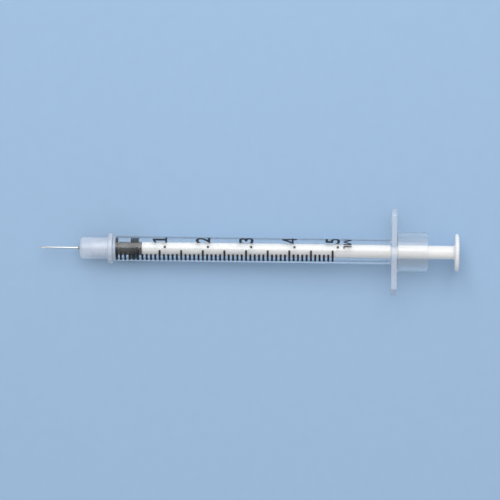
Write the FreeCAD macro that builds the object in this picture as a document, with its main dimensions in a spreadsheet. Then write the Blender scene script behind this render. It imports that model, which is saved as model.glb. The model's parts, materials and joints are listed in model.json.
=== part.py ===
import FreeCAD, Part
import math
import os
import Sketcher

# Half millilitre tuberculin syringe with its needle fixed on, plunger fully home, lying on a table.
# Every piece is drawn in the barrel's own frame: X runs along the bore from needle to thumb, with
# zero at the bore's closed front end, and Z points up. Lengths are in millimetres, angles in degrees.

SIZES = (
    ("cannula_diameter", 0.46, "Cannula: outside of the steel tube, 26 gauge"),
    ("cannula_bore", 0.26, "Cannula: bore of the steel tube"),
    ("exposed_needle", 9.45, "Cannula: length standing out of the hub's face"),
    ("bevel_angle", 14, "Cannula: slant of the ground point"),
    ("tip_land", 0.03, "Cannula: flat left at the very point"),
    ("hub_diameter", 5.27, "Hub: outside of the barrel shaped front"),
    ("hub_length", 7.03, "Hub: from its face back to the ring"),
    ("hub_slope", 0.3, "Hub: how far the face falls back to its edge"),
    ("hub_edge_radius", 0.6, "Hub: rounding of the front edge"),
    ("ring_diameter", 7.33, "Hub: outside of the ring at its rear"),
    ("ring_thickness", 1.04, "Hub: length of the ring"),
    ("ring_chamfer", 0.15, "Hub: broken edges of the ring"),
    ("well_diameter", 1.7, "Hub: mouth of the cone that takes the adhesive"),
    ("well_depth", 1.5, "Hub: depth of that cone"),
    ("adhesive_rise", 0.4, "Adhesive: how far it climbs the cannula"),
    ("nozzle_length", 5.0, "Barrel: nozzle inside the hub"),
    ("nozzle_base_diameter", 3.9, "Barrel: nozzle at the front wall"),
    ("nozzle_tip_diameter", 3.6, "Barrel: nozzle at its tip"),
    ("nozzle_bore", 0.9, "Barrel: passage through the nozzle"),
    ("socket_gap", 0.1, "Hub: space between the nozzle's tip and the socket's floor"),
    ("front_wall", 0.65, "Barrel: wall that closes the bore"),
    ("bore_diameter", 3.5, "Barrel: bore"),
    ("barrel_wall", 1.25, "Barrel: wall of the tube"),
    ("shoulder_chamfer", 0.15, "Barrel: broken edge of the front shoulder"),
    ("flange_clearance", 14.01, "Barrel: plain tube between the last line and the flange"),
    ("flange_span", 21.0, "Barrel: finger flange from tip to tip"),
    ("flange_width", 11.0, "Barrel: finger flange across its flats"),
    ("flange_thickness", 1.42, "Barrel: finger flange"),
    ("flange_chamfer", 0.22, "Barrel: broken edges of the finger flange"),
    ("flange_root", 0.35, "Barrel: sloped root from the tube to the flange"),
    ("collar_bore", 8.0, "Barrel: inside of the collar behind the flange"),
    ("collar_wall", 0.85, "Barrel: wall of that collar"),
    ("collar_length", 7.5, "Barrel: length of that collar"),
    ("collar_chamfer", 0.15, "Barrel: broken edges of the collar's mouth"),
    ("mouth_chamfer", 0.3, "Barrel: lead-in at the bore's rear mouth"),
    ("bead_height", 0.09, "Barrel: bead that keeps the stopper in"),
    ("bead_length", 0.7, "Barrel: length of that bead along the bore"),
    ("bead_setback", 2.2, "Barrel: from the bore's mouth to the bead"),
    ("division_volume", 10.0, "Scale: cubic millimetres from line to line"),
    ("division_count", 50, "Scale: spaces from the first line to the last"),
    ("divisions_per_long_line", 5, "Scale: spaces from one long line to the next"),
    ("line_width", 0.5, "Scale: width of a line along the barrel"),
    ("ink_thickness", 0.03, "Scale: thickness of the ink"),
    ("line_edge_angle", 62, "Scale: common end of the lines, turned from the top"),
    ("long_line_sweep", 59, "Scale: how far a long line runs round the barrel"),
    ("short_line_sweep", 40, "Scale: how far a short line runs round the barrel"),
    ("stop_gap", 0.05, "Stopper: space left in front of it when it is home"),
    ("rib_clearance", 0.02, "Stopper: between its ribs and the bore"),
    ("front_rib", 0.67, "Stopper: length of the front rib"),
    ("waist_length", 2.93, "Stopper: length of the waist"),
    ("waist_relief", 0.15, "Stopper: between its waist and the bore"),
    ("rear_rib", 2.05, "Stopper: length of the rear rib"),
    ("tail_length", 0.65, "Stopper: length behind the rear rib"),
    ("rib_chamfer", 0.1, "Stopper: broken edges of the ribs"),
    ("rod_clearance", 0.125, "Plunger: between the rod and the bore"),
    ("neck_diameter", 1.2, "Plunger: neck behind the knob"),
    ("neck_length", 1.4, "Plunger: length of the neck in the stopper"),
    ("knob_diameter", 2.0, "Plunger: widest part of the snap-in knob"),
    ("knob_tip_diameter", 1.0, "Plunger: blunt front of the knob"),
    ("knob_length", 2.2, "Plunger: length of the knob"),
    ("snap_clearance", 0.05, "Plunger: between the knob and its pocket in the stopper"),
    ("thumb_standoff", 6.45, "Plunger: from the collar's mouth to the thumb disc"),
    ("thumb_diameter", 9.0, "Plunger: thumb disc"),
    ("thumb_thickness", 0.95, "Plunger: thumb disc at its edge"),
    ("thumb_slope", 0.15, "Plunger: how far the thumb face falls from its middle to its edge"),
    ("thumb_edge_radius", 0.35, "Plunger: rounding of the thumb face's edge"),
    ("thumb_chamfer", 0.3, "Plunger: broken front edge of the thumb disc"),
    ("thumb_root_radius", 0.5, "Plunger: fillet from the rod to the thumb disc"),
)

document = FreeCAD.newDocument("tuberculin_syringe")
sheet = document.addObject("Spreadsheet::Sheet", "sizes")
for row, (alias, value, meaning) in enumerate(SIZES, start=1):
    sheet.set(f"A{row}", meaning)
    sheet.set(f"B{row}", str(value))
    sheet.setAlias(f"B{row}", alias)
document.recompute()

# Distances from the axis
CANNULA_R = "sizes.cannula_diameter / 2"
CANNULA_BORE_R = "sizes.cannula_bore / 2"
HUB_R = "sizes.hub_diameter / 2"
RING_R = "sizes.ring_diameter / 2"
WELL_R = "sizes.well_diameter / 2"
NOZZLE_BASE_R = "sizes.nozzle_base_diameter / 2"
NOZZLE_TIP_R = "sizes.nozzle_tip_diameter / 2"
NOZZLE_BORE_R = "sizes.nozzle_bore / 2"
BORE_R = "sizes.bore_diameter / 2"
BARREL_R = f"{BORE_R} + sizes.barrel_wall"
BEAD_R = f"{BORE_R} - sizes.bead_height"
INK_R = f"{BARREL_R} + sizes.ink_thickness"
FLANGE_R = "sizes.flange_span / 2"
FLANGE_FLAT = "sizes.flange_width / 2"
COLLAR_BORE_R = "sizes.collar_bore / 2"
COLLAR_R = f"{COLLAR_BORE_R} + sizes.collar_wall"
FLANGE_CHAMFER = f"min(sizes.flange_chamfer; ({FLANGE_FLAT} - ({COLLAR_R})) / 2)"
RIB_R = f"{BORE_R} - sizes.rib_clearance"
WAIST_R = f"{BORE_R} - sizes.waist_relief"
ROD_R = f"{BORE_R} - sizes.rod_clearance"
NECK_R = "sizes.neck_diameter / 2"
KNOB_R = "sizes.knob_diameter / 2"
KNOB_TIP_R = "sizes.knob_tip_diameter / 2"
POCKET_NECK_R = f"{NECK_R} + sizes.snap_clearance"
POCKET_KNOB_R = f"{KNOB_R} + sizes.snap_clearance"
POCKET_TIP_R = f"{KNOB_TIP_R} + sizes.snap_clearance"
THUMB_R = "sizes.thumb_diameter / 2"
AXIS = "0"

# Places along the axis, from the needle's point to the thumb face
BORE_FRONT = "0"
BARREL_FRONT = "-sizes.front_wall"
RING_FRONT = f"{BARREL_FRONT} - sizes.ring_thickness"
HUB_EDGE = f"{RING_FRONT} - sizes.hub_length + sizes.hub_slope"
HUB_FACE = f"{RING_FRONT} - sizes.hub_length"
WELL_END = f"{HUB_FACE} + sizes.well_depth"
ADHESIVE_TIP = f"{HUB_FACE} - sizes.adhesive_rise"
NEEDLE_TIP = f"{HUB_FACE} - sizes.exposed_needle"
BEVEL_END = f"{NEEDLE_TIP} + sizes.cannula_diameter / tan(sizes.bevel_angle * 1 deg)"
NOZZLE_TIP = f"{BARREL_FRONT} - sizes.nozzle_length"
SOCKET_FLOOR = f"{NOZZLE_TIP} - sizes.socket_gap"
STOPPER_FRONT = "sizes.stop_gap"
FRONT_RIB_END = f"{STOPPER_FRONT} + sizes.front_rib"
REAR_RIB_START = f"{FRONT_RIB_END} + sizes.waist_length"
REAR_RIB_END = f"{REAR_RIB_START} + sizes.rear_rib"
STOPPER_END = f"{REAR_RIB_END} + sizes.tail_length"
ROD_FRONT = f"{STOPPER_END} + sizes.snap_clearance"
KNOB_BACK = f"{ROD_FRONT} - sizes.neck_length"
KNOB_FRONT = f"{KNOB_BACK} - sizes.knob_length"
POCKET_BACK = f"{KNOB_BACK} + sizes.snap_clearance"
POCKET_FRONT = f"{KNOB_FRONT} - sizes.snap_clearance"
DIVISION = "4 * sizes.division_volume / (pi * sizes.bore_diameter ^ 2)"
SCALE_LENGTH = f"sizes.division_count * {DIVISION}"
ZERO_LINE = f"{STOPPER_FRONT} + sizes.front_rib / 2"
LINE_FRONT = f"{ZERO_LINE} - sizes.line_width / 2"
LINE_BACK = f"{ZERO_LINE} + sizes.line_width / 2"
FLANGE_FRONT = f"{ZERO_LINE} + {SCALE_LENGTH} + sizes.flange_clearance"
FLANGE_BACK = f"{FLANGE_FRONT} + sizes.flange_thickness"
BEAD_CENTRE = f"{FLANGE_BACK} - sizes.bead_setback"
BEAD_FRONT = f"{BEAD_CENTRE} - sizes.bead_length / 2"
BEAD_BACK = f"{BEAD_CENTRE} + sizes.bead_length / 2"
COLLAR_END = f"{FLANGE_BACK} + sizes.collar_length"
THUMB_FRONT = f"{COLLAR_END} + sizes.thumb_standoff"
THUMB_EDGE = f"{THUMB_FRONT} + sizes.thumb_thickness"
THUMB_FACE = f"{THUMB_EDGE} + sizes.thumb_slope"

# How a sketch numbers its own axes, its origin and the two ends of an edge
SKETCH_AXES = (-1, -2)
SKETCH_ORIGIN = (-1, 1)
EDGE_ENDS = (1, 2)

FULL_TURN = 360
SAME_PLACE = 1e-5


def size(expression):
    """The number that an expression of the sizes gives."""
    result = sheet.evalExpression(expression)
    return float(getattr(result, "Value", result))


def new_body(label):
    """An empty piece under its own name."""
    body = document.addObject("PartDesign::Body", label)
    body.Label = label
    return body


def origin_feature(body, role):
    """One of the piece's own origin planes or axes."""
    for feature in body.Origin.OriginFeatures:
        if feature.Role == role:
            return feature
    raise RuntimeError(f"{body.Label} has no {role}")


def place_corner(sketch, edge, end, across, up):
    """Fixes one end of an edge at a distance along the axis and a distance from it."""
    along_axis, up_axis = SKETCH_AXES
    for kind, zero_line, expression in (("DistanceX", up_axis, across), ("DistanceY", along_axis, up)):
        if expression == "0":
            sketch.addConstraint(Sketcher.Constraint("PointOnObject", edge, end, zero_line))
            continue
        constraint = Sketcher.Constraint(kind, *SKETCH_ORIGIN, edge, end, size(expression))
        index = sketch.addConstraint(constraint)
        sketch.setExpression(f"Constraints[{index}]", expression)


def draw_outline(sketch, corners):
    """Draws a closed outline of straight edges through the corners."""
    points = [FreeCAD.Vector(size(across), size(up), 0) for across, up in corners]
    start_mark, end_mark = EDGE_ENDS
    first_edge = sketch.GeometryCount
    for number, start in enumerate(points):
        finish = points[(number + 1) % len(points)]
        sketch.addGeometry(Part.LineSegment(start, finish), False)
    for number, (across, up) in enumerate(corners):
        edge = first_edge + number
        following = first_edge + (number + 1) % len(corners)
        sketch.addConstraint(Sketcher.Constraint("Coincident", edge, end_mark, following, start_mark))
        place_corner(sketch, edge, start_mark, across, up)


def new_sketch(body, name, role="XZ_Plane"):
    """An empty sketch on one of the piece's own origin planes."""
    sketch = body.newObject("Sketcher::SketchObject", name)
    sketch.AttachmentSupport = (origin_feature(body, role), [""])
    sketch.MapMode = "FlatFace"
    return sketch


def turned(body, name, corners):
    """Turns an outline right round the axis."""
    sketch = new_sketch(body, f"{name}_outline")
    draw_outline(sketch, corners)
    solid = body.newObject("PartDesign::Revolution", name)
    solid.Profile = sketch
    solid.ReferenceAxis = (sketch, ["H_Axis"])
    solid.Angle = FULL_TURN
    document.recompute()


def cut_across(body, name, outlines):
    """Cuts outlines, drawn along and up, right through the piece from side to side."""
    before = body.Tip.Shape.Volume
    sketch = new_sketch(body, f"{name}_outline")
    for corners in outlines:
        draw_outline(sketch, corners)
    cut = body.newObject("PartDesign::Pocket", name)
    cut.Profile = sketch
    cut.Type = "ThroughAll"
    cut.Midplane = True
    document.recompute()
    if not cut.Shape.Volume < before:
        raise RuntimeError(f"{name} cuts nothing")


def circles_at(shape, across, up):
    """Names of the circular edges round the axis at one place and one radius."""
    place = size(across)
    radius = size(up)
    names = []
    for number, edge in enumerate(shape.Edges, start=1):
        if edge.Degenerated or not isinstance(edge.Curve, Part.Circle):
            continue
        if abs(edge.Curve.Center.x - place) < SAME_PLACE and abs(edge.Curve.Radius - radius) < SAME_PLACE:
            names.append(f"Edge{number}")
    return names


def rim_at(shape, across, clear_of):
    """Names of the edges that lie in one cross section, all farther from the axis than a radius."""
    place = size(across)
    inner = size(clear_of)
    names = []
    for number, edge in enumerate(shape.Edges, start=1):
        samples = [vertex.Point for vertex in edge.Vertexes] + [edge.CenterOfMass]
        in_section = all(abs(point.x - place) < SAME_PLACE for point in samples)
        outside = all(math.hypot(point.y, point.z) > inner for point in samples)
        if in_section and outside:
            names.append(f"Edge{number}")
    return names


def rounded(body, name, edges, radius):
    """Rounds the named edges of the piece's last feature."""
    base = body.Tip
    fillet = body.newObject("PartDesign::Fillet", name)
    fillet.Base = (base, edges)
    fillet.setExpression("Radius", radius)
    document.recompute()


def chamfered(body, name, edges, setback):
    """Breaks the named edges of the piece's last feature."""
    base = body.Tip
    chamfer = body.newObject("PartDesign::Chamfer", name)
    chamfer.Base = (base, edges)
    chamfer.setExpression("Size", setback)
    document.recompute()


def make_cannula():
    """Steel tube with its point ground to a slant, open side up."""
    body = new_body("needle_cannula")
    turned(body, "tube", (
        (NEEDLE_TIP, CANNULA_BORE_R),
        (NEEDLE_TIP, CANNULA_R),
        (SOCKET_FLOOR, CANNULA_R),
        (SOCKET_FLOOR, CANNULA_BORE_R),
    ))
    cut_across(body, "ground_point", [(
        (NEEDLE_TIP, f"-{CANNULA_R} + sizes.tip_land"),
        (BEVEL_END, CANNULA_R),
        (BEVEL_END, "sizes.cannula_diameter"),
        (NEEDLE_TIP, "sizes.cannula_diameter"),
    )])
    return body


def make_adhesive():
    """Cured adhesive that fills the hub's cone and climbs a little way up the cannula."""
    body = new_body("needle_adhesive")
    turned(body, "fillet_of_adhesive", (
        (ADHESIVE_TIP, CANNULA_R),
        (HUB_FACE, WELL_R),
        (WELL_END, CANNULA_R),
    ))
    return body


def make_hub():
    """Needle hub: round nose, ring at the rear, tapered socket that sits on the barrel's nozzle."""
    body = new_body("needle_hub")
    turned(body, "moulding", (
        (WELL_END, CANNULA_R),
        (HUB_FACE, WELL_R),
        (HUB_EDGE, HUB_R),
        (RING_FRONT, HUB_R),
        (RING_FRONT, RING_R),
        (BARREL_FRONT, RING_R),
        (BARREL_FRONT, NOZZLE_BASE_R),
        (NOZZLE_TIP, NOZZLE_TIP_R),
        (SOCKET_FLOOR, NOZZLE_TIP_R),
        (SOCKET_FLOOR, CANNULA_R),
    ))
    rounded(body, "nose_edge", circles_at(body.Tip.Shape, HUB_EDGE, HUB_R), "sizes.hub_edge_radius")
    ring_edges = circles_at(body.Tip.Shape, RING_FRONT, RING_R)
    ring_edges += circles_at(body.Tip.Shape, BARREL_FRONT, RING_R)
    chamfered(body, "ring_edges", ring_edges, "sizes.ring_chamfer")
    return body


def make_barrel():
    """One moulding: nozzle, tube with its bore, finger flange with two flats, collar open to the rear."""
    body = new_body("barrel")
    turned(body, "moulding", (
        (NOZZLE_TIP, NOZZLE_BORE_R),
        (NOZZLE_TIP, NOZZLE_TIP_R),
        (BARREL_FRONT, NOZZLE_BASE_R),
        (BARREL_FRONT, BARREL_R),
        (FLANGE_FRONT, BARREL_R),
        (FLANGE_FRONT, FLANGE_R),
        (FLANGE_BACK, FLANGE_R),
        (FLANGE_BACK, COLLAR_R),
        (COLLAR_END, COLLAR_R),
        (COLLAR_END, COLLAR_BORE_R),
        (FLANGE_BACK, COLLAR_BORE_R),
        (FLANGE_BACK, BORE_R),
        (BEAD_BACK, BORE_R),
        (BEAD_CENTRE, BEAD_R),
        (BEAD_FRONT, BORE_R),
        (BORE_FRONT, BORE_R),
        (BORE_FRONT, NOZZLE_BORE_R),
    ))
    far_out = "sizes.flange_span"
    cut_across(body, "flange_flats", [
        (
            (FLANGE_FRONT, side + FLANGE_FLAT),
            (FLANGE_BACK, side + FLANGE_FLAT),
            (FLANGE_BACK, side + far_out),
            (FLANGE_FRONT, side + far_out),
        )
        for side in ("", "-")
    ])
    between = f"({FLANGE_FLAT} + {COLLAR_R}) / 2"
    flange_rims = rim_at(body.Tip.Shape, FLANGE_FRONT, between)
    flange_rims += rim_at(body.Tip.Shape, FLANGE_BACK, between)
    chamfered(body, "flange_edges", flange_rims, FLANGE_CHAMFER)
    root = circles_at(body.Tip.Shape, FLANGE_FRONT, BARREL_R)
    chamfered(body, "flange_root", root, "sizes.flange_root")
    shoulder = circles_at(body.Tip.Shape, BARREL_FRONT, BARREL_R)
    chamfered(body, "front_shoulder", shoulder, "sizes.shoulder_chamfer")
    collar_rims = circles_at(body.Tip.Shape, COLLAR_END, COLLAR_R)
    collar_rims += circles_at(body.Tip.Shape, COLLAR_END, COLLAR_BORE_R)
    chamfered(body, "collar_mouth", collar_rims, "sizes.collar_chamfer")
    mouth = circles_at(body.Tip.Shape, FLANGE_BACK, BORE_R)
    chamfered(body, "lead_in", mouth, "sizes.mouth_chamfer")
    return body


def printed_lines(body, name, sweep, spacing, copies):
    """A row of ink lines that share one end and run back round the barrel by the sweep."""
    sketch = new_sketch(body, f"{name}_section")
    draw_outline(sketch, (
        (LINE_FRONT, BARREL_R),
        (LINE_FRONT, INK_R),
        (LINE_BACK, INK_R),
        (LINE_BACK, BARREL_R),
    ))
    line = body.newObject("PartDesign::Revolution", name)
    line.Profile = sketch
    line.ReferenceAxis = (sketch, ["H_Axis"])
    line.Reversed = True
    line.setExpression("Angle", sweep)
    document.recompute()
    row = body.newObject("PartDesign::LinearPattern", f"{name}_row")
    row.Originals = [line]
    row.Direction = (origin_feature(body, "X_Axis"), [""])
    row.setExpression("Occurrences", f"{copies} + 1")
    row.setExpression("Length", f"{copies} * {spacing}")
    body.Tip = row
    document.recompute()


def make_scale():
    """Ink lines of the scale, one for each hundredth of a millilitre, every fifth one long."""
    body = new_body("graduation_marks")
    body.AllowCompound = True
    long_copies = "sizes.division_count / sizes.divisions_per_long_line"
    long_spacing = f"sizes.divisions_per_long_line * {DIVISION}"
    printed_lines(body, "long_line", "sizes.long_line_sweep", long_spacing, long_copies)
    printed_lines(body, "short_line", "sizes.short_line_sweep", DIVISION, "sizes.division_count")
    return body


def make_stopper():
    """Rubber stopper: sealing rib in front, broad rib behind a waist, pocket for the plunger's knob."""
    body = new_body("rubber_stopper")
    turned(body, "moulding", (
        (STOPPER_FRONT, AXIS),
        (STOPPER_FRONT, RIB_R),
        (FRONT_RIB_END, RIB_R),
        (FRONT_RIB_END, WAIST_R),
        (REAR_RIB_START, WAIST_R),
        (REAR_RIB_START, RIB_R),
        (REAR_RIB_END, RIB_R),
        (REAR_RIB_END, WAIST_R),
        (STOPPER_END, WAIST_R),
        (STOPPER_END, POCKET_NECK_R),
        (POCKET_BACK, POCKET_NECK_R),
        (POCKET_BACK, POCKET_KNOB_R),
        (POCKET_FRONT, POCKET_TIP_R),
        (POCKET_FRONT, AXIS),
    ))
    rib_edges = []
    for place in (STOPPER_FRONT, FRONT_RIB_END, REAR_RIB_START, REAR_RIB_END):
        rib_edges += circles_at(body.Tip.Shape, place, RIB_R)
    chamfered(body, "rib_edges", rib_edges, "sizes.rib_chamfer")
    return body


def make_plunger():
    """One moulding: knob that snaps into the stopper, round rod, thumb disc with a slightly raised face."""
    body = new_body("plunger_rod")
    turned(body, "moulding", (
        (KNOB_FRONT, AXIS),
        (KNOB_FRONT, KNOB_TIP_R),
        (KNOB_BACK, KNOB_R),
        (KNOB_BACK, NECK_R),
        (ROD_FRONT, NECK_R),
        (ROD_FRONT, ROD_R),
        (THUMB_FRONT, ROD_R),
        (THUMB_FRONT, THUMB_R),
        (THUMB_EDGE, THUMB_R),
        (THUMB_FACE, AXIS),
    ))
    front_edge = circles_at(body.Tip.Shape, THUMB_FRONT, THUMB_R)
    chamfered(body, "thumb_front", front_edge, "sizes.thumb_chamfer")
    face_edge = circles_at(body.Tip.Shape, THUMB_EDGE, THUMB_R)
    rounded(body, "thumb_edge", face_edge, "sizes.thumb_edge_radius")
    root = circles_at(body.Tip.Shape, THUMB_FRONT, ROD_R)
    rounded(body, "thumb_root", root, "sizes.thumb_root_radius")
    return body


def lying_placement():
    """Lays the syringe on its ring and one flat of its flange, with the origin under its middle."""
    rise = size(f"{FLANGE_FLAT} - {RING_R}")
    run = size(f"{FLANGE_FRONT} - ({RING_FRONT})")
    tilt = math.atan2(rise, run)
    middle = size(f"({NEEDLE_TIP} + {THUMB_FACE}) / 2") * math.cos(tilt)
    lift = size(FLANGE_FLAT) * math.cos(tilt) - size(FLANGE_FRONT) * math.sin(tilt)
    turn = FreeCAD.Rotation(FreeCAD.Vector(0, 1, 0), -math.degrees(tilt))
    return FreeCAD.Placement(FreeCAD.Vector(-middle, 0, lift), turn)


def check_document(pieces):
    """Stops if any feature failed or any piece isn't a sound solid."""
    for item in document.Objects:
        if "Invalid" in item.State or "Error" in item.State:
            raise RuntimeError(f"{item.Label} failed: {item.State}")
    for piece in pieces:
        shape = piece.Shape
        if shape.isNull() or not shape.isValid() or not shape.Solids:
            raise RuntimeError(f"{piece.Label} isn't a sound solid")


cannula = make_cannula()
adhesive = make_adhesive()
hub = make_hub()
barrel = make_barrel()
scale = make_scale()
stopper = make_stopper()
plunger = make_plunger()
pieces = (cannula, adhesive, hub, barrel, scale, stopper, plunger)

lying = lying_placement()
for piece in pieces:
    piece.Placement = lying
print_turn = FreeCAD.Rotation(FreeCAD.Vector(1, 0, 0), size("sizes.line_edge_angle"))
scale.Placement = lying.multiply(FreeCAD.Placement(FreeCAD.Vector(0, 0, 0), print_turn))
document.recompute()
check_document(pieces)

os.makedirs("parts", exist_ok=True)
for piece in pieces:
    piece.Shape.exportStep(f"parts/{piece.Label}.step")
    print(piece.Label, len(piece.Shape.Solids), round(piece.Shape.Volume, 4), piece.Shape.BoundBox)
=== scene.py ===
import json
import math

import bmesh
import bpy
from bpy.props import FloatProperty, FloatVectorProperty, IntProperty, PointerProperty
from bpy.types import Operator, Panel, PropertyGroup
from mathutils import Matrix, Vector


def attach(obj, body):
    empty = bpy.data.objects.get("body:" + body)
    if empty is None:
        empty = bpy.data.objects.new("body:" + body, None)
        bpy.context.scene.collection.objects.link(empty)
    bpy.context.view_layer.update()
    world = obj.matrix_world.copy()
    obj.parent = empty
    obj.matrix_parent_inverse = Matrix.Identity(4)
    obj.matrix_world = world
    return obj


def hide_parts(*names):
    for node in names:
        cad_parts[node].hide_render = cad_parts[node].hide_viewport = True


bl_info = {
    "name": "Tuberculin Syringe",
    "version": (1, 0, 0),
    "blender": (4, 5, 0),
    "location": "3D View > Sidebar > Syringe",
    "description": "Half millilitre syringe with its needle fixed on, lying on a pale table",
    "category": "Add Mesh",
}

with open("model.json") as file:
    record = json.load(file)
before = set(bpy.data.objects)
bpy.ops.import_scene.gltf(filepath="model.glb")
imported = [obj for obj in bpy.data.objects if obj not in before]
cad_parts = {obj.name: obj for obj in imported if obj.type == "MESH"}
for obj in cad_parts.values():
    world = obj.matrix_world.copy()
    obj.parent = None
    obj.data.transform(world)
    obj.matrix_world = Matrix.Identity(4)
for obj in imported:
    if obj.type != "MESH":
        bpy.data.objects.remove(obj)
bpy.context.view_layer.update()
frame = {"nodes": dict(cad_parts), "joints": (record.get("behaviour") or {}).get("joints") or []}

# Every piece is modelled along X in the barrel's own frame, with zero at the bore's closed front
# end and Z up, and then laid where the frame's joints say that the syringe lies.
MM = 0.001
JOINTS = {joint["name"]: joint for joint in frame["joints"]}
ALONG = Vector(JOINTS["plunger_slide"]["axis"]).normalized()
ROD_FRONT_POINT = Vector(JOINTS["plunger_turn"]["pos_m"])
TILT = math.asin(ALONG.z)
FULL_TURN = 2 * math.pi


def reach(node):
    """Where a CAD node starts and ends along the bore, measured from the rod's front end."""
    vertices = frame["nodes"][node].data.vertices
    places = [(vertex.co - ROD_FRONT_POINT).dot(ALONG) for vertex in vertices]
    return min(places), max(places)


FRONT_WALL = 0.65 * MM
BORE_FRONT_POINT = ROD_FRONT_POINT + ALONG * (reach("needle_hub")[1] + FRONT_WALL)
LYING = Matrix.Translation(BORE_FRONT_POINT) @ Matrix.Rotation(-TILT, 4, "Y")
ROD_FRONT = (ROD_FRONT_POINT - BORE_FRONT_POINT).dot(ALONG)


def span(node):
    """Where a CAD node starts and ends along the bore, measured from the bore's front end."""
    start, end = reach(node)
    return start + ROD_FRONT, end + ROD_FRONT


def linear(*levels):
    """A colour given as three levels from 0 to 255, in the linear values that shaders take."""
    shares = [level / 255 for level in levels]
    return tuple(s / 12.92 if s <= 0.04045 else ((s + 0.055) / 1.055) ** 2.4 for s in shares)


def length(name, millimetres, description):
    """A length that a user can change, shown in the scene's own unit."""
    return FloatProperty(name=name, description=description, default=millimetres * MM, min=0.0,
                         precision=5, unit="LENGTH")


def turn(name, degrees, description):
    """An angle that a user can change."""
    return FloatProperty(name=name, description=description, default=math.radians(degrees),
                         subtype="ANGLE", unit="ROTATION")


def colour(name, levels, description):
    """A colour that a user can change, given as three levels from 0 to 255."""
    return FloatVectorProperty(name=name, description=description, default=linear(*levels), size=3,
                               min=0.0, max=1.0, subtype="COLOR")


def share(name, default, description):
    """A share from 0 to 1 that a user can change."""
    return FloatProperty(name=name, description=description, default=default, min=0.0, max=1.0,
                         subtype="FACTOR")


class NeedleSizes(PropertyGroup):
    """Sizes of the cannula, its adhesive and the hub."""

    cannula: length("Cannula", 0.46, "Outside of the steel tube")
    cannula_bore: length("Cannula bore", 0.26, "Inside of the steel tube")
    bevel_angle: turn("Point", 14, "Slant of the ground point")
    point_land: length("Point land", 0.02, "Flat left at the very point")
    side_angle: turn("Side grind", 30, "How far each side grind is turned from the top")
    side_length: length("Side grind length", 0.55, "How far those grinds run back from the point")
    hub: length("Hub", 5.27, "Outside of the hub's front")
    hub_slope: length("Hub slope", 0.3, "How far the hub's face falls back to its edge")
    hub_edge: length("Hub edge", 0.6, "Rounding of the hub's front edge")
    ring: length("Ring", 7.33, "Outside of the ring behind the hub")
    ring_thickness: length("Ring thickness", 1.04, "Length of that ring")
    well: length("Well", 1.7, "Mouth of the cone that takes the adhesive")
    well_depth: length("Well depth", 1.5, "Depth of that cone")
    seat_gap: length("Seat gap", 0.015, "Space between the hub's socket and the nozzle")


class BarrelSizes(PropertyGroup):
    """Sizes of the clear barrel with its nozzle, flange and collar."""

    bore: length("Bore", 3.5, "Inside of the tube")
    outside: length("Tube", 6.0, "Outside of the tube")
    nozzle_length: length("Nozzle length", 5.0, "Nozzle inside the hub")
    nozzle_base: length("Nozzle base", 3.9, "Nozzle at the barrel's front wall")
    nozzle_tip: length("Nozzle tip", 3.6, "Nozzle at its tip")
    nozzle_bore: length("Nozzle bore", 0.9, "Passage through the nozzle")
    flange_span: length("Flange span", 21.0, "Finger flange from tip to tip")
    flange_width: length("Flange width", 11.0, "Finger flange across its flats")
    flange_thickness: length("Flange thickness", 1.42, "Finger flange")
    flange_edge: length("Flange edge", 0.3, "Rounding of the flange's rim")
    flange_root: length("Flange root", 0.4, "Fillet from the tube to the flange")
    collar_bore: length("Collar bore", 8.0, "Inside of the collar behind the flange")
    collar: length("Collar", 9.7, "Outside of that collar")
    collar_length: length("Collar length", 7.5, "Length of that collar")
    edge: length("Edge", 0.15, "Rounding of the small edges")
    bead_height: length("Bead", 0.09, "Bead that keeps the stopper in")
    bead_length: length("Bead length", 0.7, "Length of that bead along the bore")
    bead_setback: length("Bead place", 2.2, "From the bore's mouth to the bead")


class PrintSizes(PropertyGroup):
    """Sizes of the printed scale, its numbers and its unit."""

    pitch: length("Division", 1.03938, "From line to line, ten microlitres of the bore")
    divisions: IntProperty(name="Divisions", description="Spaces on the scale", default=50, min=1)
    long_every: IntProperty(name="Long line every", default=5, min=1,
                            description="Spaces from one long line to the next")
    zero: length("Zero line", 0.385, "From the bore's front end to the first line")
    line_width: length("Line width", 0.5, "Width of a line along the barrel")
    thickness: length("Ink thickness", 0.03, "How far the ink stands out of the plastic")
    sunk: length("Ink depth", 0.01, "How far the ink goes into the plastic")
    line_end: turn("Line end", 62, "Common end of the lines, turned from the top")
    long_sweep: turn("Long line", 59, "How far a long line runs round the barrel")
    short_sweep: turn("Short line", 40, "How far a short line runs round the barrel")
    digit_height: length("Digit height", 3.5, "Height of a digit, which lies along the barrel")
    digit_width: length("Digit width", 2.0, "Width of a digit round the barrel")
    digit_turn: turn("Digit place", 50, "Middle of a digit, turned from the top")
    point_size: length("Point", 0.52, "Size of the point before a digit")
    point_turn: turn("Point place", 12, "Middle of the point, turned from the top")
    unit_height: length("Unit height", 1.95, "Height of the unit's letters")
    unit_width: length("Unit width", 2.85, "Length of the unit round the barrel")
    unit_turn: turn("Unit place", 32, "Middle of the unit, turned from the top")
    unit_setback: length("Unit setback", 3.55, "From the last line to the middle of the unit")
    skew: turn("Skew", 10, "How far the print is turned from the first line to the last")


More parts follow.
